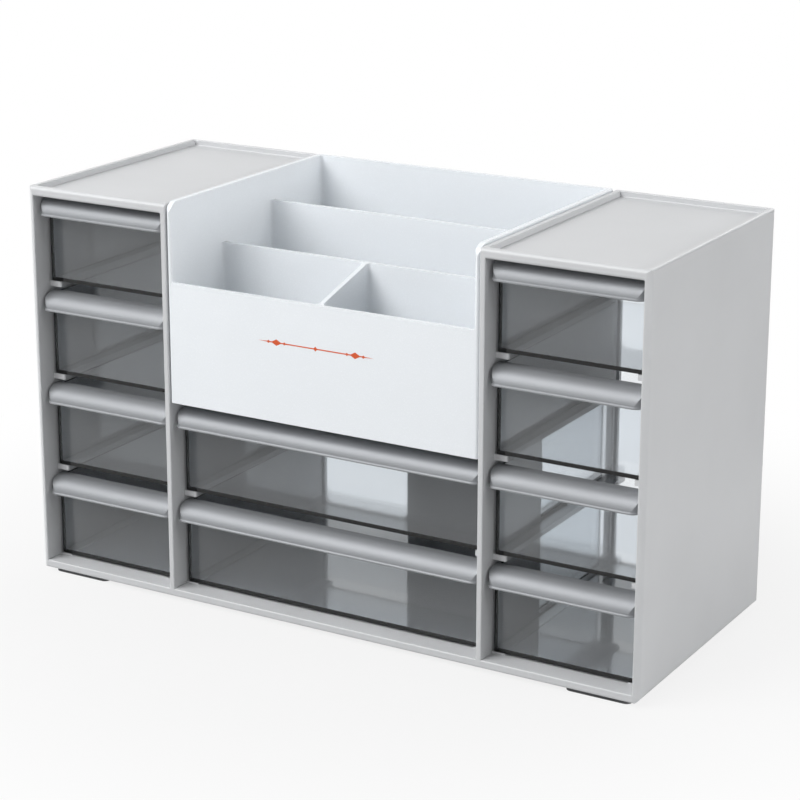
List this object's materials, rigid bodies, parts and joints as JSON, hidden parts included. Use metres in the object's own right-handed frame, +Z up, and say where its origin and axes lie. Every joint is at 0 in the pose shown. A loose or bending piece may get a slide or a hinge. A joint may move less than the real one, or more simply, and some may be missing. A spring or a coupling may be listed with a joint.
{
  "type": "desktop drawer organizer",
  "caption": "Desktop organizer: two towers of small clear drawers, wide drawers between them and a lift-out box with stepped compartments above.",
  "frame": {"origin": "middle of the footprint, at the undersides of the feet", "axes": "+X to the right seen from the front, -Y out of the drawer fronts, +Z up"},
  "size_m": [0.34, 0.143, 0.2056],
  "materials": {
    "casing": "light grey satin plastic",
    "box": "white plastic, low gloss",
    "drawers": "clear plastic with a smoke tint",
    "pulls": "silver-grey satin plastic",
    "feet": "matte dark rubber"
  },
  "bodies": {
    "casing": {"side_left": "casing", "side_right": "casing", "partition_left": "casing", "partition_right": "casing", "base_panel": "casing", "top_left": "casing", "top_right": "casing", "deck": "casing", "back_left": "casing", "back_right": "casing", "back_middle": "casing", "foot_fl": "feet", "foot_fr": "feet", "foot_bl": "feet", "foot_br": "feet"},
    "tray": {"tray_box": "box"},
    "drawer_left_1": {"drawer_left_1": "drawers", "pull_left_1": "pulls"},
    "drawer_left_2": {"drawer_left_2": "drawers", "pull_left_2": "pulls"},
    "drawer_left_3": {"drawer_left_3": "drawers", "pull_left_3": "pulls"},
    "drawer_left_4": {"drawer_left_4": "drawers", "pull_left_4": "pulls"},
    "drawer_right_1": {"drawer_right_1": "drawers", "pull_right_1": "pulls"},
    "drawer_right_2": {"drawer_right_2": "drawers", "pull_right_2": "pulls"},
    "drawer_right_3": {"drawer_right_3": "drawers", "pull_right_3": "pulls"},
    "drawer_right_4": {"drawer_right_4": "drawers", "pull_right_4": "pulls"},
    "drawer_wide_1": {"drawer_wide_1": "drawers", "pull_wide_1": "pulls"},
    "drawer_wide_2": {"drawer_wide_2": "drawers", "pull_wide_2": "pulls"}
  },
  "joints": [
    {"name": "tray_lift", "type": "slide", "parent": "casing", "child": "tray", "axis": [0, 0, 1], "range_m": [0, 0.105]},
    {"name": "slide_left_1", "type": "slide", "parent": "casing", "child": "drawer_left_1", "axis": [0, -1, 0], "range_m": [0, 0.1]},
    {"name": "slide_left_2", "type": "slide", "parent": "casing", "child": "drawer_left_2", "axis": [0, -1, 0], "range_m": [0, 0.1]},
    {"name": "slide_left_3", "type": "slide", "parent": "casing", "child": "drawer_left_3", "axis": [0, -1, 0], "range_m": [0, 0.1]},
    {"name": "slide_left_4", "type": "slide", "parent": "casing", "child": "drawer_left_4", "axis": [0, -1, 0], "range_m": [0, 0.1]},
    {"name": "slide_right_1", "type": "slide", "parent": "casing", "child": "drawer_right_1", "axis": [0, -1, 0], "range_m": [0, 0.1]},
    {"name": "slide_right_2", "type": "slide", "parent": "casing", "child": "drawer_right_2", "axis": [0, -1, 0], "range_m": [0, 0.1]},
    {"name": "slide_right_3", "type": "slide", "parent": "casing", "child": "drawer_right_3", "axis": [0, -1, 0], "range_m": [0, 0.1]},
    {"name": "slide_right_4", "type": "slide", "parent": "casing", "child": "drawer_right_4", "axis": [0, -1, 0], "range_m": [0, 0.1]},
    {"name": "slide_wide_1", "type": "slide", "parent": "casing", "child": "drawer_wide_1", "axis": [0, -1, 0], "range_m": [0, 0.1]},
    {"name": "slide_wide_2", "type": "slide", "parent": "casing", "child": "drawer_wide_2", "axis": [0, -1, 0], "range_m": [0, 0.1]}
  ]
}
